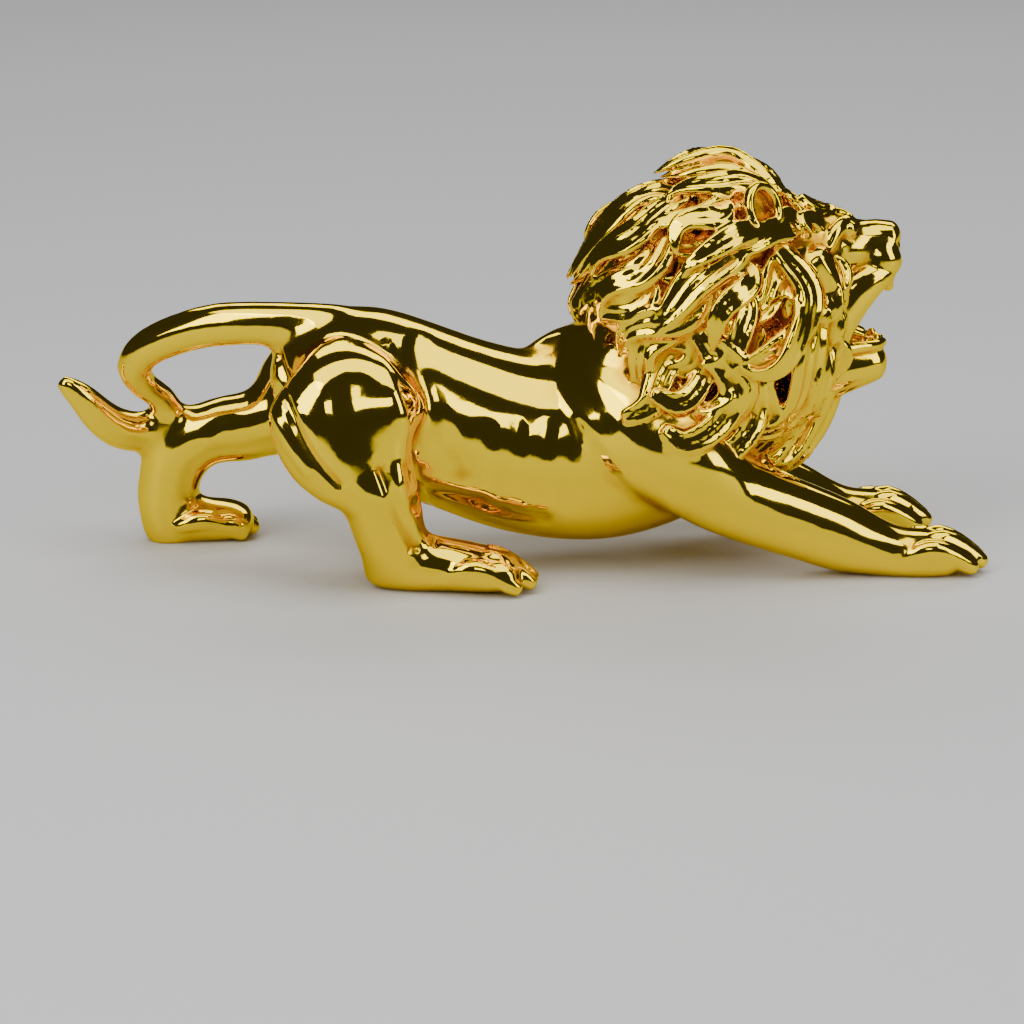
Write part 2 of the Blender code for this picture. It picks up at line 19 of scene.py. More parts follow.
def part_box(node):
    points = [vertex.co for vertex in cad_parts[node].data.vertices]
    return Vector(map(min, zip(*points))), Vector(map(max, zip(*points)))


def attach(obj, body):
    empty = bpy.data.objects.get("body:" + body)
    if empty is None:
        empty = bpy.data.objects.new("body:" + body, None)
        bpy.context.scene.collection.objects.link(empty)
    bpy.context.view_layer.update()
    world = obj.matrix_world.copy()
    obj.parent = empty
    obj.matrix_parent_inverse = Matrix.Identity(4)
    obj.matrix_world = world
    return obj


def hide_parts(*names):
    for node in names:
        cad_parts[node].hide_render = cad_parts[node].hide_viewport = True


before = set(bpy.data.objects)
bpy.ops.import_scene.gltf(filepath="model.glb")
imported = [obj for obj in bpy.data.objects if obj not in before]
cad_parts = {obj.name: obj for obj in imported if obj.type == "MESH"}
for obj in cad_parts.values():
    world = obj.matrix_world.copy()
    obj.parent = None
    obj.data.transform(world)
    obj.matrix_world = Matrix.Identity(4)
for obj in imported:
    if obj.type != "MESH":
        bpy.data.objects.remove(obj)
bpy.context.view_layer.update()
LOW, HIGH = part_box("lion")
LENGTH = HIGH.x - LOW.x
SHARE = LENGTH / 300           # one 300th of the length, about a millimetre
NEAR = -1                      # the side of -Y, which the photograph shows
FAR = 1
print("frame: lion %.0f mm long, %.0f mm tall" % (LENGTH * 1000, HIGH.z * 1000))

# %% [markdown]
# ### A loft, the one tool for every form
#
# A muscle, a toe and a lock of hair are all closed rounded forms that swell and
# taper along a curve. Metaballs would blend by themselves but give no say over a
# section. So each form is a row of circles, stretched across and along, set
# square to a smooth curve and bridged with quads.

# %% Smooth rows
def spread(rows, steps):
    """Rows on a smooth curve through the given ones, with more of them between."""
    rows = [np.array(row, float) for row in rows]
    rows = [2 * rows[0] - rows[1]] + rows + [2 * rows[-1] - rows[-2]]
    fine = []
    for a, b, c, d in zip(rows, rows[1:], rows[2:], rows[3:]):
        for step in range(steps):
            t = step / steps
            # A cubic that runs from b to c and takes its slopes from a and d.
            fine.append(0.5 * (2 * b + (c - a) * t + (2 * a - 5 * b + 4 * c - d) * t * t
                               + (3 * b - a - 3 * c + d) * t ** 3))
    return fine + [rows[-2]]

# %% Rings of a form
CAP_ANGLES = (25, 50, 75)      # degrees at which the rings of a domed end stand
THINNEST = 0.2                 # the least half width of a section
STRAND_DEPTH = 0.5             # how deep the grooves between strands cut into a lock


def capped(sections, dome):
    """The sections with a dome of three smaller ones at either end."""
    for end, way in ((0, -1), (-1, 1)):
        middle, along, half, top = sections[end]
        reach = dome * min(half)
        cap = []
        for angle in CAP_ANGLES:
            lean = math.radians(angle)
            cap.append((middle + along * (way * reach * math.sin(lean)), along,
                        half * math.cos(lean), top))
        sections = cap[::-1] + sections if end == 0 else sections + cap
    return sections


def ring_edges(form, section, sides, hollow, strands):
    """Draws one section as a ring of vertices and gives its edges, always in one order."""
    middle, along, (across, high), top = section
    side = along.cross(top).normalized()
    top = side.cross(along)
    pose = Matrix((side * max(across, THINNEST), top * max(high, THINNEST), along)).transposed()
    pose = Matrix.Translation(middle * SHARE) @ (pose * SHARE).to_4x4()
    ring = bmesh.ops.create_circle(form, radius=1, segments=sides)["verts"]
    for vert in ring:
        groove = (1 + math.cos(math.pi * strands * (vert.co.x + 1))) / 2 if strands else 0
        vert.co.y *= 1 - hollow * math.cos(math.pi / 2 * vert.co.x)
        vert.co.y *= 1 - STRAND_DEPTH * groove
        vert.co = pose @ vert.co
    members = set(ring)
    return list(dict.fromkeys(edge for vert in ring for edge in vert.link_edges
                              if edge.other_vert(vert) in members))

# %% Lofted forms
def add(bm, form):
    """Puts the bmesh of one form into a larger one."""
    bmesh.ops.recalc_face_normals(form, faces=form.faces)
    mesh = bpy.data.meshes.new("form")
    form.to_mesh(mesh)
    form.free()
    bm.from_mesh(mesh)
    bpy.data.meshes.remove(mesh)


def loft(bm, rows, up=(0, 0, 1), steps=3, sides=20, dome=0.7, facing=None, hollow=0,
         strands=0):
    """A closed rounded form through rows of x, y, z, half across and half along up.

    A row may end with its own up. With facing given, all sections stand square to it.
    Hollow sinks the middle of the form between two rims that run along it, and
    strands parts it lengthwise into that many.
    """
    rows = spread(rows, steps)
    middles = [Vector(row[:3]) for row in rows]
    ahead = [(b - a).normalized() for a, b in zip(middles, middles[1:])]
    ahead = [ahead[0]] + [(a + b).normalized() for a, b in zip(ahead, ahead[1:])] + [ahead[-1]]
    if facing:
        ahead = [Vector(facing)] * len(rows)
    halves = [row[3:5] for row in rows]
    ups = [Vector(row[5:8]) if len(row) > 5 else Vector(up) for row in rows]
    form = bmesh.new()
    last = None
    for section in capped(list(zip(middles, ahead, halves, ups)), dome):
        edges = ring_edges(form, section, sides, hollow, strands)
        if last:
            bmesh.ops.bridge_loops(form, edges=last + edges)
        else:
            bmesh.ops.edgeloop_fill(form, edges=edges)
        last = edges
    bmesh.ops.edgeloop_fill(form, edges=last)
    add(bm, form)


def egg(bm, middle, radii):
    """A round mass with a radius along each axis."""
    pose = (Matrix.Translation(Vector(middle) * SHARE)
            @ Matrix.Diagonal((*(Vector(radii) * SHARE), 1)))
    bmesh.ops.create_uvsphere(bm, u_segments=24, v_segments=16, radius=1, matrix=pose)

# %% [markdown]
# ### Trunk, limbs and tail
#
# The lion stalks: the shoulders are low between stretched forelegs, the rump is
# high and one hind foot is far back. Each mass is a few sections measured on the
# photograph in 300ths of the length. The tail hangs in a loop and its tuft
# touches the far hock, which holds it.

# %% Sections of the trunk and neck
# Rows of the trunk: x, top, bottom, half width
TRUNK = [(-73, 74, 50, 10), (-70, 81, 42, 18), (-63, 84, 33, 24), (-50, 84, 27, 26),
         (-35, 79, 22, 26), (-20, 73.5, 17, 27), (0, 68.5, 9.5, 30), (20, 68, 6.5, 32),
         (35, 72, 9, 32), (50, 78, 16, 30), (65, 84, 28, 26), (75, 86, 40, 18)]
# Rows of the other masses: x, y, z, half width across, half width along the section's up
NECK = [(12, 0, 54, 14, 16), (18, 0, 58, 20, 20), (26, 0, 61, 26, 25), (42, 0, 66, 29, 29),
        (60, 0, 76, 29, 32), (80, 0, 88, 22, 26)]
RUMP = ((-56, 0, 62), (18, 24, 20))  # its middle and radii

# %% Sections of the tail and legs
TAIL = [(-58, 0, 76, 9, 9), (-72, 1.5, 78, 7.6, 7.6), (-93, 6, 77.5, 7.4, 7.4),
        (-107, 10, 74, 7, 7), (-119, 14, 68, 6.5, 6.5), (-123.5, 17.5, 61, 6, 6),
        (-120.5, 22, 54, 5.2, 5.2), (-114.5, 26, 48.5, 5, 5), (-114, 28.5, 42.5, 5.4, 5.4),
        (-119, 28.5, 38, 6.2, 6.2), (-127, 26, 38, 7.2, 7.2), (-134, 22, 43, 6.6, 6.6),
        (-140, 18.5, 51, 5.4, 5.4), (-146, 15.5, 57, 3.6, 3.6)]
NEAR_THIGH = [(-58, -17, 72, 7, 11), (-56.5, -24.5, 66, 12, 18.5), (-56, -29, 58, 14, 24.8),
              (-54.6, -31.6, 48, 13.6, 23), (-51, -33.2, 40, 12.8, 18.2),
              (-46.5, -34, 33, 11.5, 13.2), (-44, -32.5, 23, 10.3, 12),
              (-41.5, -31, 13, 9.6, 11), (-38.5, -29.5, 5, 7.5, 8.5)]
NEAR_HIND_FOOT = [(-47, -28, 6, 7, 7), (-42, -29, 7.5, 9, 8.5), (-34, -30, 8, 10.3, 9.2),
                  (-25, -31.5, 8, 10.8, 8.6), (-15, -33.3, 7, 12, 7.4), (-5, -34.5, 6, 12, 6)]
FAR_THIGH = [(-58, 19, 71, 7, 12), (-57, 25, 65, 12, 18), (-62, 29, 57, 13.5, 18.5),
             (-70, 31, 48, 13, 17), (-78, 31, 41, 12, 13.5), (-88, 30.8, 37.5, 11, 12),
             (-98, 30.4, 36.5, 10.4, 11.4), (-106, 30, 33.5, 9.8, 11), (-111.6, 30, 27, 9, 11),
             (-114.2, 30, 19, 8.6, 10.4), (-114.6, 30, 11, 8.5, 10.1), (-113.8, 30, 3, 8.6, 9.4)]
FAR_HIND_FOOT = [(-119, 30, 5, 7, 6.4), (-112, 30, 6.5, 9, 7.5), (-103, 30.6, 6.2, 10, 7.6),
                 (-95, 31.3, 6, 11, 7), (-90, 31.8, 5.2, 11, 6)]
SHOULDER = [(19, -6, 66, 7, 12), (23, -14, 64, 9, 15), (29, -21.5, 58, 11, 17.5),
            (36, -27, 51, 12.5, 18), (43, -30, 44, 12.8, 17), (51, -30.5, 37, 12.8, 15.8),
            (60, -28, 31, 12.5, 14.5)]
FOREARM = [(50, -29, 36, 12.5, 14), (60, -28, 30, 12.5, 14), (72.6, -26, 23.7, 12.4, 13.2),
           (88.8, -24.5, 17.3, 12, 12.6), (101.7, -24, 12, 11.2, 11.8),
           (111.3, -24, 8.7, 10.2, 9.6), (119.7, -24, 6.5, 10.4, 8.2), (129, -24, 6, 11.2, 8),
           (136, -24, 5, 11, 6.4)]
FAR_STEP = 8                   # how far the far foreleg stays behind the near one

# %% Flesh
def mirrored(rows, ahead=0):
    """The same rows on the other side, moved along X."""
    return [(x + ahead, -y, z, across, high) for x, y, z, across, high in rows]


def trunk(bm):
    loft(bm, [(x, 0, (top + low) / 2, wide, (top - low) / 2) for x, top, low, wide in TRUNK])
    loft(bm, NECK, facing=(1, 0, 0))
    egg(bm, *RUMP)


def limbs(bm):
    loft(bm, NEAR_THIGH, up=(1, 0, 0))
    loft(bm, NEAR_HIND_FOOT)
    loft(bm, FAR_THIGH, up=(1, 0, 0.3))
    loft(bm, FAR_HIND_FOOT)
    for rows, up in ((SHOULDER, (1, 0, 0.4)), (FOREARM, (0, 0, 1))):
        loft(bm, rows, up=up)
        loft(bm, mirrored(rows, -FAR_STEP), up=up)


def tail(bm):
    loft(bm, TAIL, up=(0, 1, 0.2), sides=16)


flesh = bmesh.new()
trunk(flesh)
limbs(flesh)
tail(flesh)
print("flesh:", len(flesh.verts), "vertices in overlapping forms")

# %% [markdown]
# ### Melting forms into one skin
#
# Overlapping forms would show hard seams where they meet. The casting has none,
# so a voxel remesh makes one skin round them all and smoothing rounds one muscle
# into the next. A level of subdivision then hides the cells, which a mirror
# finish would show.

# %% Melt
FLESH_VOXEL = 1.5              # cell of the mesh that melts the muscles together
FLESH_PASSES = 16              # smoothing that rounds one muscle into the next


def melt(bm, voxel, passes, levels=0):
    """One smooth closed skin round everything in the bmesh, as a new bmesh."""
    bmesh.ops.recalc_face_normals(bm, faces=bm.faces)
    clay = bpy.data.meshes.new("clay")
    bm.to_mesh(clay)
    bm.free()
    holder = bpy.data.objects.new("clay", clay)
    bpy.context.collection.objects.link(holder)
    cells = holder.modifiers.new("cells", "REMESH")
    cells.mode = "VOXEL"
    cells.voxel_size = voxel * SHARE
    seen = holder.evaluated_get(bpy.context.evaluated_depsgraph_get())
    skin = bpy.data.meshes.new_from_object(seen)
    bpy.data.objects.remove(holder)
    bpy.data.meshes.remove(clay)
    melted = bmesh.new()
    melted.from_mesh(skin)
    bpy.data.meshes.remove(skin)
    for _ in range(passes):
        bmesh.ops.smooth_vert(melted, verts=melted.verts, factor=0.5,
                              use_axis_x=True, use_axis_y=True, use_axis_z=True)
    if levels:
        bmesh.ops.subdivide_edges(melted, edges=melted.edges, cuts=levels, use_grid_fill=True,
                                  smooth=1.0)
    return melted


flesh = melt(flesh, FLESH_VOXEL, FLESH_PASSES, levels=1)
print("flesh:", len(flesh.faces), "faces in one skin")

# %% [markdown]
# ### Toes
#
# A lion's paw is four fat toes over a broad pad. Each toe is a short loft from the
# knuckle down to the tip, and the outer two are set back, as on the real paw.

# %% Toes
# Paws: middle x, middle y, heading in degrees, half width over the toes, knuckle height
PAWS = [(131, -24, 0, 8.8, 12.3), (131 - FAR_STEP, 24, 0, 8.8, 12.3),
        (-13.5, -33.5, -10, 9.2, 11.6), (-101.5, 31.2, 6, 8.8, 10.4)]
# A toe from the knuckle to the tip: ahead, height as a share of the knuckle, radius
TOE = [(-6, 0.7, 2.2), (-2, 0.86, 3.1), (2.5, 0.92, 3.5), (8, 0.74, 3.3), (13, 0.44, 3.1),
       (15.5, 0.3, 2.6)]
TOE_PLACES = (-1, -0.34, 0.34, 1)  # across the paw, as shares of its half width
OUTER_BACK = 4.5               # how far the outer toes are set back
OUTER_LOW = 0.16               # how much lower they are, as a share of the height
TOES_CLOSE = 0.012             # how much the toes draw together, for each step ahead
TOE_WIDTH = 0.95               # width of a toe as a share of its height


def toes(bm):
    """Four toes on each paw, the outer ones set back and lower."""
    for x, y, heading, half, height in PAWS:
        way = Vector((math.cos(math.radians(heading)), math.sin(math.radians(heading)), 0))
        side = Vector((-way.y, way.x, 0))
        for place in TOE_PLACES:
            back = OUTER_BACK * place * place
            rows = []
            for ahead, share, radius in TOE:
                at = Vector((x, y, 0)) + way * (ahead - back)
                at += side * (place * half * (1 - TOES_CLOSE * abs(ahead)))
                low = height * share * (1 - OUTER_LOW * place * place)
                rows.append((at.x, at.y, low, radius * TOE_WIDTH, radius))
            loft(bm, rows, sides=12, steps=2)


toes(flesh)
print("toes:", len(PAWS) * len(TOE_PLACES))

# %% [markdown]
# ### The roaring head
#
# The muzzle is level and the jaw hangs open below it. Lips, brows, lids and teeth
# are small lofts, written once for one side and mirrored. The mouth is the empty
# room between muzzle and jaw.

# %% Sections of the head
# The head's masses; the muzzle is level and the jaw hangs open below it
SKULL = [(74, 0, 96, 20, 20), (84, 0, 99, 18, 16), (94, 0, 100.5, 16, 13),
         (101, 0, 100.5, 12, 10.5), (108, 0, 100.3, 9, 9.2), (115.5, 0, 100.3, 8, 8.6)]
JAW = [(88, 0, 62, 14, 13), (98, 0, 62, 12.2, 11), (106, 0, 63, 10.6, 9),
       (113, 0, 64, 8.8, 7.2)]
# One side of the face, mirrored for the other: rows of x, y, z, across, along
FACE = {
    "cheek": [(90, 16, 100, 6, 7), (94, 15.5, 93, 6, 7), (95, 13.5, 84, 5, 6),
              (95, 12, 74, 4.5, 6)],
    "upper lip": [(116, 5.6, 93, 3.4, 3.4), (111, 8.4, 91.5, 5.2, 3.4),
                  (104.8, 10.8, 86.5, 6.4, 3.2), (100.6, 12, 79, 6, 3.2),
                  (98.4, 11.4, 71.5, 5.4, 3)],
    "lower lip": [(99, 11, 69.6, 2.6, 3.2), (106, 9.2, 70, 2, 2.6), (112.6, 6.6, 70.2, 1.8, 2.4),
                  (115.6, 2, 70.2, 1.8, 2.2)],
    "brow": [(105.5, 3.2, 109, 2, 1.5), (102, 7.5, 109.5, 2.9, 2.2), (98.5, 11.5, 107.8, 2.6, 2.1),
             (95.5, 14, 103, 2, 2)],
    "lower lid": [(106.6, 5.6, 104, 1, 0.8), (104.2, 8.6, 102.4, 1.4, 1),
                  (101, 11.2, 103.6, 1, 0.8)],
    "upper canine": [(116, 5, 91, 2.2, 2.2), (116.6, 5, 89.4, 2.1, 2.1),
                     (116.8, 5, 88.4, 1.7, 1.7)],
    "lower canine": [(113.4, 4.6, 69.6, 1.8, 1.8), (113.7, 4.6, 71.6, 1.5, 1.5),
                     (113.8, 4.6, 73, 1, 1)],
}
NOSE = [(99, 0, 107.4, 5.5, 3), (107, 0, 106, 5.2, 3.2), (113, 0, 106.2, 5.6, 3.2),
        (117.6, 0, 105.8, 6.4, 3.2)]
TONGUE = [(97, 0, 74, 6, 2.4), (104, 0, 74.2, 5.6, 2.4), (109.6, 0, 72.8, 5, 2)]
# Round masses of the head: middle, radii
NOSE_TIP = ((117.6, 0, 104), (3.6, 6.4, 5))
CHIN = ((111.5, 0, 61.5), (5.4, 7, 5))
LIP_PAD = ((113.6, 4.8, 97), (7.4, 4.8, 6.6))
EYEBALL = ((103.2, 8.6, 108), (2.8, 2.8, 2.6))

# %% Sizes of the ear
EAR = (73, 22, 117)            # middle of an ear's hollow
EAR_HALF = (5.6, 7.2)          # half width and half height of its rim
EAR_FACES = (0.5, 0.8, 0.25)   # the way the hollow looks
EAR_TOP = (-0.1, 0, 1)         # the way its tip points
EAR_RIM = (1.7, 2.2)           # half sizes of the rolled rim
EAR_ARC = range(-130, 131, 20)  # where the rim runs, in degrees from the ear's top
EAR_END = (4.4, 5.6)           # half sizes of the closed end of the cup
RIM_AHEAD = 0.8                # how far the rim stands before the middle
CUP_BEHIND = 2.4               # how far the cup begins behind it
CUP_DEPTH = 3                  # and how deep it goes from there

# %% Head
def ear(bm, side):
    """A round cup: a thin back and a rolled rim three quarters of the way round."""
    faces = Vector((EAR_FACES[0], side * EAR_FACES[1], EAR_FACES[2])).normalized()
    middle = Vector((EAR[0], side * EAR[1], EAR[2]))
    top = (Vector(EAR_TOP) - faces * faces.z).normalized()
    across = top.cross(faces)
    rows = []
    for angle in EAR_ARC:
        lean = math.radians(angle)
        at = middle + faces * RIM_AHEAD + top * (EAR_HALF[1] * math.cos(lean))
        at += across * (EAR_HALF[0] * math.sin(lean))
        rows.append((*at, *EAR_RIM, *faces))
    loft(bm, rows, steps=1, sides=10)
    back = middle - faces * CUP_BEHIND
    rows = [(*(back - faces * CUP_DEPTH), *EAR_END, *top), (*back, *EAR_HALF, *top)]
    loft(bm, rows, steps=1, sides=16, dome=0.1)


def head(bm):
    loft(bm, SKULL)
    loft(bm, JAW)
    loft(bm, NOSE, sides=16)
    loft(bm, TONGUE, sides=14)
    egg(bm, *NOSE_TIP)
    egg(bm, *CHIN)
    for side in (NEAR, FAR):
        for rows in FACE.values():
            loft(bm, [(x, side * y, z, across, along) for x, y, z, across, along in rows],
                 up=(0.3, side, 0.2), sides=12)
        for (x, y, z), radii in (LIP_PAD, EYEBALL):
            egg(bm, (x, side * y, z), radii)
        ear(bm, side)


head(flesh)
print("head added:", len(flesh.verts), "vertices")

# %% [markdown]
# ### The mane
#
# The mane is what one sees first: rings of broad locks, each waving back and down
# over the next, deep dark gaps between them and fine strands along each blade. A
# particle system would give hair, not a casting. So each lock is a loft that walks
# over an egg-shaped core, turning its heading as it goes. Low locks fill the ground,
# big curls lie over them, and the locks that hang free have points of their own.

# %% Core and low locks
# Rows of the mane's core: x, middle, half width, half height
MANE_CORE = [(17, 82, 4, 3.5), (20, 82, 9, 9), (25, 82, 16, 17.5), (32, 81.5, 24.5, 27.5),
             (41, 80, 30, 36.3), (52, 79, 32.5, 41.5), (64, 79, 32.5, 43), (76, 79.5, 29, 39.5),
             (86, 82, 23.5, 32), (94, 83, 17, 28)]
# Rings of low locks that fill the ground: x of the roots, locks round, length, width, lift
LOCK_RINGS = [(40, 12, 24, 11, -0.6), (50, 13, 30, 12, -0.8), (61, 15, 32, 12, -0.4),
              (72, 15, 34, 12, -0.6), (82, 15, 32, 11.5, -0.4), (91, 14, 28, 10.5, -0.4),
              (95, 13, 20, 8.5, 0.2)]
LOCK_SEED = 11

# %% Curls
# Big curls of one flank, alike on the other: x and degrees from the top at the root, headings
# at root, middle and tip (0 runs back, 90 runs down), length, width, lift
CURLS = [(62, 41, 113, 30, 70, 43, 14, 6.0), (77, 50, 112, 60, -20, 48, 12, 5.8),
         (88, 84, 112, 34, -60, 44, 14, 6.2), (92, 122, 108, 34, -80, 36, 12, 6.0),
         (54, 88, 134, 54, 20, 50, 14, 6.2), (50, 84, 44, 70, 165, 34, 10.5, 5.5),
         (54, 62, 60, 36, 70, 38, 12.5, 5.0), (47, 38, 64, 26, 60, 36, 12.5, 5.5),
         (53, 20, 46, 6, 50, 34, 10, 5.0), (68, 26, 44, 8, 44, 30, 9.5, 5.5),
         (83, 34, 66, 16, 60, 28, 9.5, 5.5), (72, 108, 116, 46, -40, 38, 11.5, 6.0),
         (84, 118, 110, 34, -50, 36, 11, 5.5), (40, 62, 72, 26, 100, 28, 10, 5.5),
         (40, 100, 50, 80, 150, 24, 9, 5.0), (60, 126, 116, 50, -20, 32, 10, 5.5),
         (95, 58, 120, 60, -10, 22, 7, 4.5), (95, 76, 112, 60, -10, 22, 7, 4.5),
         (94, 94, 112, 60, -10, 22, 7, 4.5), (66, 72, 120, 50, 0, 28, 9, 4.0),
         (46, 112, 110, 60, -30, 24, 8.5, 4.5), (45, 32, 60, 10, 90, 24, 8.5, 8.6),
         (60, 30, 90, 20, 100, 26, 9, 9.4), (40, 54, 90, 20, 110, 22, 8, 8.0),
         (71, 40, 80, 10, 100, 28, 9, 9.4), (66, 60, 110, 40, 120, 28, 8.5, 9.4),
         (80, 72, 120, 40, -20, 30, 9, 9.6), (60, 100, 120, 50, -40, 26, 8.5, 9.0),
         (90, 104, 120, 50, -30, 26, 8.5, 9.0)]
# Curls over the brow, rows as above and alike on both sides
BROW = [(97, 8, -80, 10, 90, 16, 7.5, 3.0), (96, 30, -40, 40, 120, 16, 7, 3.5),
        (90, 18, -70, 10, 80, 16, 7.5, 2.4), (89, 36, -40, 20, 90, 16, 7.5, 3.0)]
# Curls along the top, rows as above: the tuft over the crown and what follows it down the neck
CROWN = [(81, -3, -16, 0, 30, 38, 16, 7.8), (79, -3, 0, 0, 20, 32, 16, 3.4),
         (79, -20, -10, 6, 40, 34, 12, 4.6), (79, 15, -10, 6, 40, 34, 12, 4.6),
         (52, 4, 24, -8, 30, 32, 12, 3.6), (48, -14, -20, 10, 40, 30, 11, 3.4),
         (46, 18, -10, 10, 30, 28, 11, 3.0), (38, -4, 20, 0, -20, 20, 10, 3.0)]

# %% Hanging locks
# Locks that hang over the shoulder and under the jaw, alike on both sides: x, y, z, width
HANGING = [[(57, 32.5, 75, 7), (63.5, 36.5, 63, 9.5), (58, 39.5, 53, 9.5), (48, 42, 48.5, 8),
            (42, 41.5, 52.5, 4.5)],
           [(48, 30, 78, 8), (41, 34, 68, 10.5), (37, 38, 59.5, 9), (29.5, 38, 56, 4.5)],
           [(56, 33, 70, 7), (51, 37, 63, 8.5), (45, 39.5, 60.5, 8), (38, 39.5, 63.5, 4.5)],
           [(72, 28.5, 62, 7), (70, 32.5, 51, 9), (62, 35, 43.5, 8), (54, 37, 45, 4)],
           [(93, 14, 59, 7.5), (81, 19.5, 56, 9), (76, 19.5, 47, 8.5), (81, 15, 36.5, 7.5),
            (88, 11.5, 37.5, 4)]]
HANGING_THICKNESS = 0.36       # half height of such a lock as a share of its width

# %% Places on the core
SLOPE_SPAN = 2.0               # the core's slope is measured this far to either side
STEEPEST = 1.6                 # and counted up to this
CORE = np.array(spread([(x, middle, wide, high) for x, middle, wide, high in MANE_CORE], 6))


def mane_point(x, round_deg, lift):
    """A point of the mane's core at x, some degrees from the top, and the way out there."""
    middle, wide, high = (np.interp(x, CORE[:, 0], CORE[:, i]) for i in (1, 2, 3))
    turn = math.radians(round_deg)
    out = Vector((0, math.sin(turn) / wide, math.cos(turn) / high))
    grow = (np.interp(x + SLOPE_SPAN, CORE[:, 0], CORE[:, 3])
            - np.interp(x - SLOPE_SPAN, CORE[:, 0], CORE[:, 3])) / (2 * SLOPE_SPAN)
    grow = max(-STEEPEST, min(STEEPEST, grow))
    out = (out.normalized() + Vector((-grow, 0, 0))).normalized()
    at = Vector((x, wide * math.sin(turn), middle + high * math.cos(turn)))
    return at + out * lift, out

# %% The way of a lock
THICKNESS = 0.34               # half height of a lock as a share of its width
TIP_LIFT = 3.6                 # how far the tip of a lock stands off
WAVE = 24                      # degrees by which a lock swings to either side of its way
WAVES = 1.3                    # swings along a lock
MANE_END = 16.0                # no lock goes further back than this
PARTING = 176.0                # nor nearer the middle underneath, in degrees from the top
ROWS_ALONG = 11                # rows of a lock
LEAST_REACH = 8                # keeps a lock from spinning where the core is thin


def lock_rows(x, round_deg, headings, length, width, lift):
    """Rows of one lock that walks over the core from its root by headings to its tip."""
    side = 1 if round_deg >= 0 else -1
    turn = abs(round_deg)
    stride = length / (ROWS_ALONG - 1)
    rows = []
    ways = spread([(heading,) for heading in headings], ROWS_ALONG // 2)
    for index, (way,) in enumerate(ways):
        t = index / (ROWS_ALONG - 1)
        # Both are parts of a half wave: the root sits deep, the tip runs out thin.
        rise = lift * math.sin(math.pi * min(1, 0.1 + 0.75 * t)) + TIP_LIFT * t ** 3
        swell = math.sin(math.pi * (0.16 + 0.82 * t ** 0.9)) ** 0.75
        at, out = mane_point(x, side * turn, rise)
        rows.append((*at, width / 2 * swell, width * THICKNESS * swell ** 0.8, *out))
        # The place serves as the phase of the wave, so that neighbours don't wave alike.
        heading = math.radians(way + WAVE * math.sin(2 * math.pi * WAVES * t + round_deg))
        wide, high = (np.interp(x, CORE[:, 0], CORE[:, i]) for i in (2, 3))
        reach = math.hypot(wide * math.cos(math.radians(turn)), high * math.sin(math.radians(turn)))
        x = max(MANE_END, x - stride * math.cos(heading))
        turn += math.degrees(stride * math.sin(heading) / max(reach, LEAST_REACH))
        turn = min(PARTING, turn)
    return rows


def fall(x, turn):
    """Heading of the hair at a place of the mane: back at the top, down at the sides."""
    # 10 degrees on top grow to 74 at the side, less so behind and underneath.
    heading = (10 + 64 * min(1, turn / 80)) * (0.45 + 0.55 * (x - MANE_END) / 80)
    return heading * min(1, (180 - turn) / 60)

# %% Low locks
HOLLOW = 0.55                  # how far the middle of a lock sinks between its rims
STRANDS = 3                    # strands side by side in a lock
LOCK_SIDES = 24                # vertices round a lock
# What chance changes in a low lock, as the least and the most
ROOT_TURN = (-3, 3)            # degrees added round the mane
ROOT_SHIFT = (-2.5, 2.5)       # what is added along it
SWING = (40, 62)               # degrees by which the root points away from the fall
SPAN = (0.9, 1.15)             # length and width as shares of the ring's
LIFT = (-0.4, 1.0)             # what is added to the lift
TIP_SWING = 0.6                # how far the tip swings back, as a share of the root's swing


def lock(bm, rows, **more):
    """One lock, hollow along its middle and parted into strands."""
    loft(bm, rows, sides=LOCK_SIDES, hollow=HOLLOW, strands=STRANDS, **more)


def low_locks(bm):
    """Rings of locks that follow the fall of the hair, each a little different."""
    draw = random.Random(LOCK_SEED)
    for ring, (x, count, length, width, lift) in enumerate(LOCK_RINGS):
        for index in range(count):
            round_deg = (index + 0.5 * (ring % 2)) * 360 / count
            round_deg = (round_deg + 180 + draw.uniform(*ROOT_TURN)) % 360 - 180
            down = fall(x, abs(round_deg))
            swing = draw.uniform(*SWING)
            rows = lock_rows(x + draw.uniform(*ROOT_SHIFT), round_deg,
                             (down + swing, down, down - TIP_SWING * swing),
                             length * draw.uniform(*SPAN), width * draw.uniform(*SPAN),
                             lift + draw.uniform(*LIFT))
            lock(bm, rows, steps=2)

# %% Curls, hanging locks and beard
# A strand of the beard: x, z and how full it is there
BEARD = [(103, 59, 0.8), (101, 51, 1), (97, 42.5, 1), (92, 34.5, 0.8), (87.5, 29, 0.4)]
BEARD_STRANDS = range(-3, 4)   # places across the chin


def curls(bm):
    """The big curls over the low locks, most of them alike on both sides."""
    both = [(x, side * turn, *rest) for side in (NEAR, FAR) for x, turn, *rest in CURLS + BROW]
    for x, turn, root, middle, tip, length, width, lift in CROWN + both:
        lock(bm, lock_rows(x, turn, (root, middle, tip), length, width, lift), steps=2)


def hanging_locks(bm):
    for line in HANGING:
        for side in (NEAR, FAR):
            rows = [(x, side * y, z, width / 2, width * HANGING_THICKNESS)
                    for x, y, z, width in line]
            lock(bm, rows, up=(0.1, side, 0.2))


def beard(bm):
    """Strands that spread from the chin; the outer ones hang further back and higher."""
    for place in BEARD_STRANDS:
        rows = []
        # The sway differs from strand to strand, so that they don't run side by side.
        for index, (x, z, full) in enumerate(BEARD):
            sway = 1.6 * math.sin(1.9 * index + place)
            rows.append((x - 0.9 * place * place, place * (2.6 + 0.7 * index) + sway,
                         z + 0.6 * place * place, 4 * full, 3 * full))
        loft(bm, rows, up=(1, 0, -0.5), sides=LOCK_SIDES, strands=2)


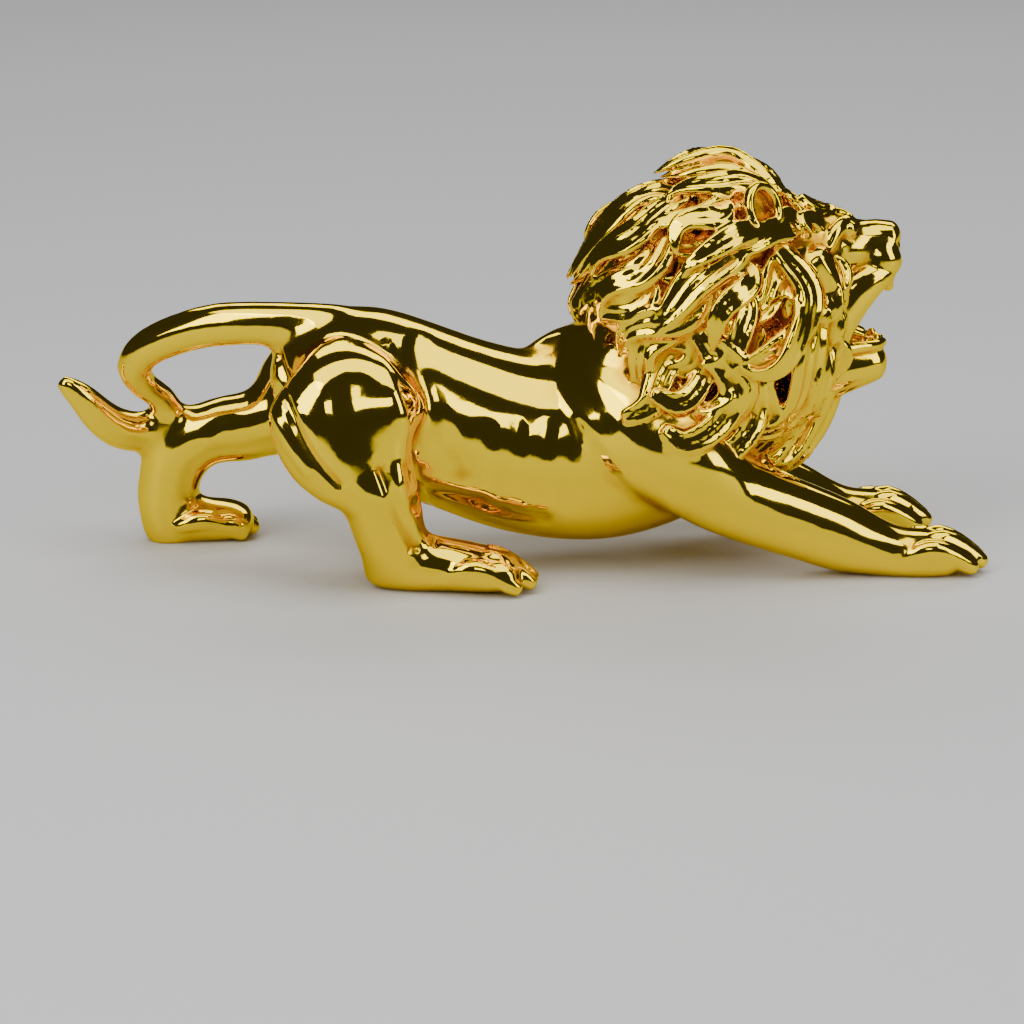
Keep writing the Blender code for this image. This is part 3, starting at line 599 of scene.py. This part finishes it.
loft(flesh, [(x, 0, middle, wide, high) for x, middle, wide, high in MANE_CORE],
     facing=(1, 0, 0), sides=28, dome=0.3)
low_locks(flesh)
curls(flesh)
hanging_locks(flesh)
beard(flesh)
print("mane added:", len(flesh.verts), "vertices")

# %% [markdown]
# ### Carving
#
# Creases of haunch, shoulder and shins, ribs and folds of the flank are too shallow
# to be forms of their own. They are pushed into the finished skin along lines seen
# from the side, with a soft edge. Nostrils and pupils are dents round one place.

# %% Lines of the carving
# Carving seen from a side: lines of x, z, half width, depth (below zero raises)
SHOULDER_EDGE = [((7, 73), (20, 58), (32, 40), (38, 30), (42, 22)), 4.6, 0.5]
RIBS = [[((x, 50), (x - 2.5, 38), (x - 2, 26)), 4.4, 0.5] for x in range(-12, 22, 9)]
BELLY_FOLD = [((-34, 29), (-20, 27), (-6, 22), (6, 20)), 3.6, 0.9]
BELLY_RIDGE = [((-34, 33.5), (-20, 31.5), (-6, 27), (6, 25)), 3.6, -0.6]
NEAR_CARVING = [SHOULDER_EDGE, *RIBS, BELLY_FOLD, BELLY_RIDGE,
                [((-33, 74), (-30, 60), (-26, 47), (-20, 37)), 6.0, 1.0],
                [((-43, 74), (-40, 62), (-37, 51), (-35, 44)), 3.6, -0.7],
                [((-53, 64), (-51, 53), (-48, 43)), 11.0, 2.0],
                [((-77, 70), (-72, 57), (-66, 46), (-59, 38)), 2.4, 1.3],
                [((-80, 62), (-75, 51), (-68, 41)), 2.8, -0.9],
                [((-45, 42), (-41, 28), (-36, 16)), 3.0, 1.4],
                [((-37, 42), (-34, 29), (-29, 17)), 2.6, 1.2]]
FAR_CARVING = [SHOULDER_EDGE, *RIBS, BELLY_FOLD, BELLY_RIDGE,
               [((-38, 72), (-38, 60), (-36, 48), (-30, 38)), 4.5, 1.3],
               [((-84, 46), (-95, 41), (-106, 36), (-110, 26)), 2.4, 1]]

# %% Carve
FACING_GAIN = 1.6              # how soon skin counts as facing the side
MIDDLE_STRIP = 4               # skin nearer the middle plane than this stays


def carve(bm, strokes, side):
    """Pushes the skin in (or out) along lines seen from one side of the lion.

    A stroke is a line of x, z points with a half width and a depth; depth below
    zero raises a ridge. Only skin that faces the given side moves.
    """
    places = np.array([vert.co for vert in bm.verts]) / SHARE
    normals = np.array([vert.normal for vert in bm.verts])
    facing = np.clip(normals[:, 1] * side * FACING_GAIN, 0, 1)
    facing[places[:, 1] * side < MIDDLE_STRIP] = 0
    push = np.zeros(len(places))
    for line, half, depth in strokes:
        line = np.array(spread([(x, z) for x, z in line], 4))
        near = np.full(len(places), 1e9)
        for start, end in zip(line, line[1:]):
            along = end - start
            t = ((places[:, [0, 2]] - start) @ along) / max(along @ along, 1e-9)
            t = np.clip(t, 0, 1)[:, None]
            gap = np.linalg.norm(places[:, [0, 2]] - start - t * along, axis=1)
            near = np.minimum(near, gap)
        weight = np.clip(1 - (near / half) ** 2, 0, 1) ** 2
        push -= depth * weight * facing
    moved = (places + normals * push[:, None]) * SHARE
    for vert, place in zip(bm.verts, moved):
        vert.co = place


CARVED_VOXEL = 0.6             # cell of the mesh that joins head, toes and mane on
CARVED_PASSES = 2              # smoothing that takes the cells out of it


lion = melt(flesh, CARVED_VOXEL, CARVED_PASSES)
carve(lion, NEAR_CARVING, NEAR)
carve(lion, FAR_CARVING, FAR)
print("carved:", len(lion.faces), "faces")

# %% Nostrils and pupils
# Dents of the face, alike on both sides: x, y, z, radius, depth
DENTS = [(120.4, 3.4, 103, 2.3, 1.5), (105.2, 10.4, 108.4, 1.5, 0.7)]


def dent(bm, middle, radius, depth):
    """Pushes the skin in round one place."""
    for vert in bm.verts:
        near = (vert.co / SHARE - Vector(middle)).length / radius
        if near < 1:
            vert.co -= vert.normal * (depth * SHARE * (1 - near * near) ** 2)


for side in (NEAR, FAR):
    for x, y, z, radius, depth in DENTS:
        dent(lion, (x, side * y, z), radius, depth)
print("dents:", 2 * len(DENTS))

# %% [markdown]
# ### Thinning, soles and fit
#
# The fine skin has far more faces than its flat parts need. Decimate keeps them
# where the surface bends. The soles are cut flat where the lion stands, and the
# piece is brought into the frame's box.

# %% Thin
TRIANGLES = 190000             # faces that thinning leaves


def thin(bm, triangles):
    """The same form with fewer triangles: more of them where it bends more."""
    mesh = bpy.data.meshes.new("thick")
    bm.to_mesh(mesh)
    bm.free()
    holder = bpy.data.objects.new("thick", mesh)
    bpy.context.collection.objects.link(holder)
    mesh.calc_loop_triangles()
    fewer = holder.modifiers.new("fewer", "DECIMATE")
    fewer.ratio = triangles / len(mesh.loop_triangles)
    fewer.use_collapse_triangulate = True
    seen = holder.evaluated_get(bpy.context.evaluated_depsgraph_get())
    thinner = bpy.data.meshes.new_from_object(seen)
    bpy.data.objects.remove(holder)
    bpy.data.meshes.remove(mesh)
    thinned = bmesh.new()
    thinned.from_mesh(thinner)
    bpy.data.meshes.remove(thinner)
    return thinned


def on_flat_soles(bm):
    """Cuts everything below z = 0 away and closes the soles flat."""
    parts = bm.verts[:] + bm.edges[:] + bm.faces[:]
    cut = bmesh.ops.bisect_plane(bm, geom=parts, plane_co=(0, 0, 0), plane_no=(0, 0, -1),
                                 clear_outer=True, dist=1e-7)
    rims = [item for item in cut["geom_cut"] if isinstance(item, bmesh.types.BMEdge)]
    bmesh.ops.edgeloop_fill(bm, edges=rims)
    bmesh.ops.triangulate(bm, faces=bm.faces)

# %% Fit to the frame
CRUMB = 50                     # a loose bit with fewer vertices than this is dropped
CREASE = 70                    # degrees between faces from which an edge stays sharp


def fit(bm, low, high):
    """Brings the mesh into the box of the frame's solid, soles on its underside."""
    places = np.array([vert.co for vert in bm.verts])
    least, most = Vector(places.min(axis=0)), Vector(places.max(axis=0))
    bmesh.ops.translate(bm, verts=bm.verts,
                        vec=(-(least.x + most.x) / 2, -(least.y + most.y) / 2, 0))
    spans = (high.x - low.x, high.y - low.y, high.z)
    held = (most.x - least.x, most.y - least.y, most.z)
    bmesh.ops.scale(bm, verts=bm.verts, vec=[a / b for a, b in zip(spans, held)])
    bmesh.ops.translate(bm, verts=bm.verts,
                        vec=((low.x + high.x) / 2, (low.y + high.y) / 2, 0))


def without_crumbs(bm):
    """Drops the loose bits that thinning leaves behind, a few vertices each."""
    seen = set()
    crumbs = []
    for vert in bm.verts:
        if vert in seen:
            continue
        seen.add(vert)
        bit = [vert]
        for here in bit:
            for edge in here.link_edges:
                there = edge.other_vert(here)
                if there not in seen:
                    seen.add(there)
                    bit.append(there)
        if len(bit) < CRUMB:
            crumbs += bit
    bmesh.ops.delete(bm, geom=crumbs, context="VERTS")
    print("crumbs dropped:", len(crumbs), "vertices")


lion = thin(lion, TRIANGLES)
without_crumbs(lion)
on_flat_soles(lion)
fit(lion, LOW, HIGH)
skin = bpy.data.meshes.new("lion_casting")
lion.to_mesh(skin)
lion.free()
skin.shade_smooth()
skin.set_sharp_from_angle(angle=math.radians(CREASE))
casting = bpy.data.objects.new("lion_casting", skin)
bpy.context.collection.objects.link(casting)
print("casting:", len(skin.polygons), "triangles")

# %% [markdown]
# ### Painted shade in the crevices
#
# A polishing wheel never reaches the bottom of a groove, so the plating there is
# rougher. Its colour there is a painted shade: a darker, redder tone that stands in
# for the shade and the red of gold reflected in gold. An attribute holds how deep
# each vertex lies below its neighbourhood: the skin is smoothed in numbers and
# compared with itself.

# %% Depth of the crevices
CREVICE_PASSES = 14            # smoothing that finds the level of the neighbourhood
CREVICE_DEPTH = 0.8 * SHARE    # a vertex this far below it is in a full crevice


def sunk(mesh, passes):
    """How far each vertex lies below the smoothed skin round it."""
    count = len(mesh.vertices)
    places = np.empty(count * 3)
    mesh.vertices.foreach_get("co", places)
    places = places.reshape(-1, 3)
    normals = np.array([vert.normal for vert in mesh.vertices])
    ends = np.empty(len(mesh.edges) * 2, int)
    mesh.edges.foreach_get("vertices", ends)
    ends = ends.reshape(-1, 2)
    joined = np.bincount(ends.ravel(), minlength=count)[:, None]
    level = places.copy()
    for _ in range(passes):
        total = np.zeros_like(level)
        for here, there in ((0, 1), (1, 0)):
            for axis in range(3):
                total[:, axis] += np.bincount(ends[:, here], weights=level[ends[:, there], axis],
                                              minlength=count)
        level = total / joined
    return ((level - places) * normals).sum(axis=1)


# how deep a vertex lies in a crevice; it sets the painted shade of the gold and its rougher polish
depth = np.clip(sunk(skin, CREVICE_PASSES) / CREVICE_DEPTH, 0, 1)
crevice = skin.attributes.new("crevice", "FLOAT", "POINT")
crevice.data.foreach_set("value", depth)
print("crevices: %.0f %% of the skin" % (100 * (depth > 0.5).mean()))

# %% [markdown]
# ### Gold plating
#
# Metallic 1 with a strong yellow base gives gold its colour in the reflections. A
# fine noise breaks the polish: it moves the roughness a little and lifts a faint
# bump, as on plated resin. Crevices get a rougher polish and a painted shade, a
# darker and redder tone.

# %% Gold plating
GOLD = (1.0, 0.70, 0.0, 1.0)
EDGE_GOLD = (1.0, 0.84, 0.2, 1.0)   # what it turns to at a grazing angle
# painted shade: a darker, redder gold for the crevices, in place of their shade and the red of gold
# reflected in gold
PAINTED_CREVICE_SHADE = (0.62, 0.27, 0.0, 1.0)
POLISHED = 0.06                # roughness of the polish, less or more by the haze
HAZE = (-0.02, 0.03)
HAZE_SCALE = 60                # patches of haze to a metre, about
DULL = 0.34                    # roughness in a crevice
RIPPLE_SCALE = 220             # ripples to a metre, about
RIPPLE_HEIGHT = 0.0004         # metres
RIPPLE_STRENGTH = 0.06


def gold_plating():
    finish = bpy.data.materials.new("gold_plating")
    finish.use_nodes = True
    nodes, links = finish.node_tree.nodes, finish.node_tree.links
    shader = nodes["Principled BSDF"]
    shader.inputs["Metallic"].default_value = 1.0
    shader.inputs["Specular Tint"].default_value = EDGE_GOLD
    where = nodes.new("ShaderNodeTexCoord")
    sunk_in = nodes.new("ShaderNodeAttribute")
    sunk_in.attribute_name = "crevice"
    # the base colour turns to the painted crevice shade where the crevice attribute is high
    tone = nodes.new("ShaderNodeMix")
    tone.data_type = "RGBA"
    tone.inputs["A"].default_value = GOLD
    tone.inputs["B"].default_value = PAINTED_CREVICE_SHADE
    links.new(sunk_in.outputs["Fac"], tone.inputs["Factor"])
    links.new(tone.outputs["Result"], shader.inputs["Base Color"])
    haze = nodes.new("ShaderNodeTexNoise")
    haze.inputs["Scale"].default_value = HAZE_SCALE
    haze.inputs["Detail"].default_value = 4
    links.new(where.outputs["Object"], haze.inputs["Vector"])
    polish = nodes.new("ShaderNodeMapRange")
    polish.inputs["To Min"].default_value = POLISHED + HAZE[0]
    polish.inputs["To Max"].default_value = POLISHED + HAZE[1]
    links.new(haze.outputs["Fac"], polish.inputs["Value"])
    rough = nodes.new("ShaderNodeMix")
    links.new(sunk_in.outputs["Fac"], rough.inputs["Factor"])
    links.new(polish.outputs["Result"], rough.inputs["A"])
    rough.inputs["B"].default_value = DULL
    links.new(rough.outputs["Result"], shader.inputs["Roughness"])
    ripple = nodes.new("ShaderNodeTexNoise")
    ripple.inputs["Scale"].default_value = RIPPLE_SCALE
    ripple.inputs["Detail"].default_value = 2
    links.new(where.outputs["Object"], ripple.inputs["Vector"])
    bump = nodes.new("ShaderNodeBump")
    bump.inputs["Strength"].default_value = RIPPLE_STRENGTH
    bump.inputs["Distance"].default_value = RIPPLE_HEIGHT
    links.new(ripple.outputs["Fac"], bump.inputs["Height"])
    links.new(bump.outputs["Normal"], shader.inputs["Normal"])
    return finish


skin.materials.append(gold_plating())
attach(casting, "root")
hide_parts("lion")

# %% [markdown]
# ### Floor and light
#
# Polished metal shows its surroundings more than itself. The floor is plain and
# pale. Behind the camera the room stays dark and a few wide soft boxes stand in
# it, so that the gold has bright panels, dark edges and clean highlights.

# %% Floor
FLOOR_HALF = 6                 # metres from its middle to an edge
FLOOR_TONE = 0.62
FLOOR_ROUGHNESS = 0.6

paint = bpy.data.materials.new("floor_paint")
paint.use_nodes = True
shader = paint.node_tree.nodes["Principled BSDF"]
shader.inputs["Base Color"].default_value = (FLOOR_TONE, FLOOR_TONE, FLOOR_TONE, 1)
shader.inputs["Roughness"].default_value = FLOOR_ROUGHNESS
ground = bmesh.new()
bmesh.ops.create_grid(ground, x_segments=1, y_segments=1, size=FLOOR_HALF)
sheet = bpy.data.meshes.new("floor")
ground.to_mesh(sheet)
ground.free()
sheet.materials.append(paint)
floor = bpy.data.objects.new("floor", sheet)
bpy.context.collection.objects.link(floor)

# %% Soft boxes
# Name, azimuth and elevation in degrees, distance, width and height in metres, glow
SOFT_BOXES = [("overhead", 10, 80, 2.4, 3.0, 1.8, 2.7), ("key", -50, 36, 1.2, 0.5, 0.9, 5.0),
              ("fill", 55, 26, 1.2, 0.4, 0.9, 3.8), ("front", 4, 30, 1.6, 0.5, 0.4, 3.8),
              ("back", 170, 42, 2.8, 3.2, 1.0, 3.4)]
ROOM_TONE = (0.30, 0.31, 0.33, 1)
ROOM_LIGHT = 0.12              # strength of the light that comes from all sides


def outward(azimuth, elevation):
    """The way from the lion to what is seen at these degrees; azimuth 0 is the camera's side."""
    a, e = math.radians(azimuth), math.radians(elevation)
    return Vector((math.sin(a) * math.cos(e), -math.cos(a) * math.cos(e), math.sin(e)))


def soft_box(name, azimuth, elevation, distance, wide, high, glow):
    """A rectangular light that faces the lion and glows alike all over."""
    away = outward(azimuth, elevation)
    lamp = bpy.data.lights.new(name, "AREA")
    lamp.shape = "RECTANGLE"
    lamp.size = wide
    lamp.size_y = high
    lamp.energy = glow * math.pi * wide * high
    holder = bpy.data.objects.new(name, lamp)
    holder.location = away * distance + Vector((0, 0, HIGH.z / 2))
    holder.rotation_euler = away.to_track_quat("Z", "Y").to_euler()
    bpy.context.collection.objects.link(holder)


for row in SOFT_BOXES:
    soft_box(*row)
world = bpy.data.worlds.new("room")
bpy.context.scene.world = world
world.use_nodes = True
world.node_tree.nodes["Background"].inputs["Color"].default_value = ROOM_TONE
world.node_tree.nodes["Background"].inputs["Strength"].default_value = ROOM_LIGHT
print("soft boxes:", len(SOFT_BOXES))

# %% [markdown]
# ### Camera
#
# The photograph looks almost square at the lion's right side, from a little above
# and slightly from behind. The framing is taken from where the paws and the crown
# stand in the picture.

# %% Camera
AZIMUTH = -4
ELEVATION = 16
DISTANCE = 3.22 * LENGTH
FRAME_WIDTH = 1.119 * LENGTH   # what the picture spans at the lion
TARGET = Vector((-0.009, 0, 0.053)) * LENGTH

away = outward(AZIMUTH, ELEVATION)
lens = bpy.data.cameras.new("camera")
lens.sensor_width = 36
lens.lens = lens.sensor_width * DISTANCE / FRAME_WIDTH
camera = bpy.data.objects.new("camera", lens)
camera.location = TARGET + away * DISTANCE
camera.rotation_euler = away.to_track_quat("Z", "Y").to_euler()
bpy.context.collection.objects.link(camera)
bpy.context.scene.camera = camera
print("camera: %.2f m away, %.0f mm lens" % (DISTANCE, lens.lens))
